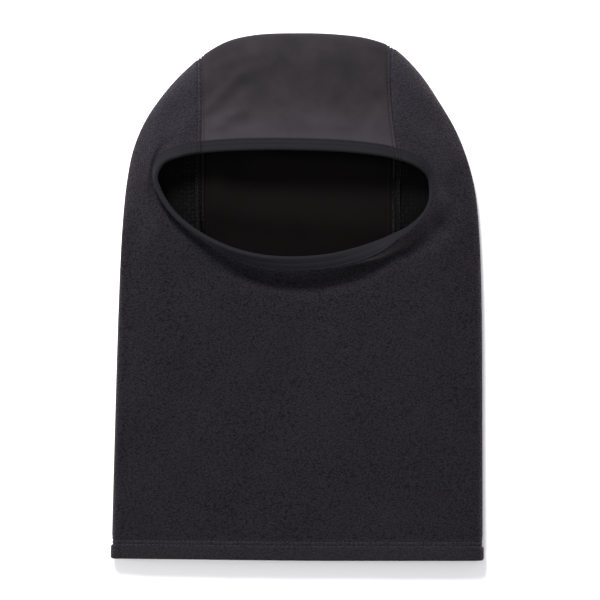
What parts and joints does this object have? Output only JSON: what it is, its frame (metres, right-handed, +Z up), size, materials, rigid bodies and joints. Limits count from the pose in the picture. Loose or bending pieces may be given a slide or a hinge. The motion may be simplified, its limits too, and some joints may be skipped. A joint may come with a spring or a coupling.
{
  "type": "balaclava",
  "caption": "Fleece balaclava laid flat face up: smooth stretch strip over the crown, bound oval face opening and a long neck with a turned, double-stitched hem.",
  "frame": {"origin": "centre of the outline on the table the balaclava lies on, under its middle", "axes": "+Z up, out of the face side; +Y along the length, from the neck hem to the crown; +X across the width, to the right seen from the face side"},
  "size_m": [0.2694, 0.38, 0.0324],
  "materials": {
    "fleece": "short brushed pile, matt",
    "stretch_cloth": "smooth fine knit, soft sheen",
    "binding": "folded elastic knit tape, matt",
    "thread": "spun sewing thread"
  },
  "bodies": {
    "root": {"fleece_body": "fleece", "crown_strip": "stretch_cloth", "face_binding": "binding", "left_seam_overlock": "thread", "right_seam_overlock": "thread", "left_seam_thread_fleece_side": "thread", "left_seam_thread_strip_side": "thread", "right_seam_thread_strip_side": "thread", "right_seam_thread_fleece_side": "thread", "binding_needle_thread": "thread", "binding_looper_thread": "thread", "hem_thread_upper": "thread", "hem_thread_lower": "thread", "hem_looper_thread": "thread"}
  },
  "joints": []
}
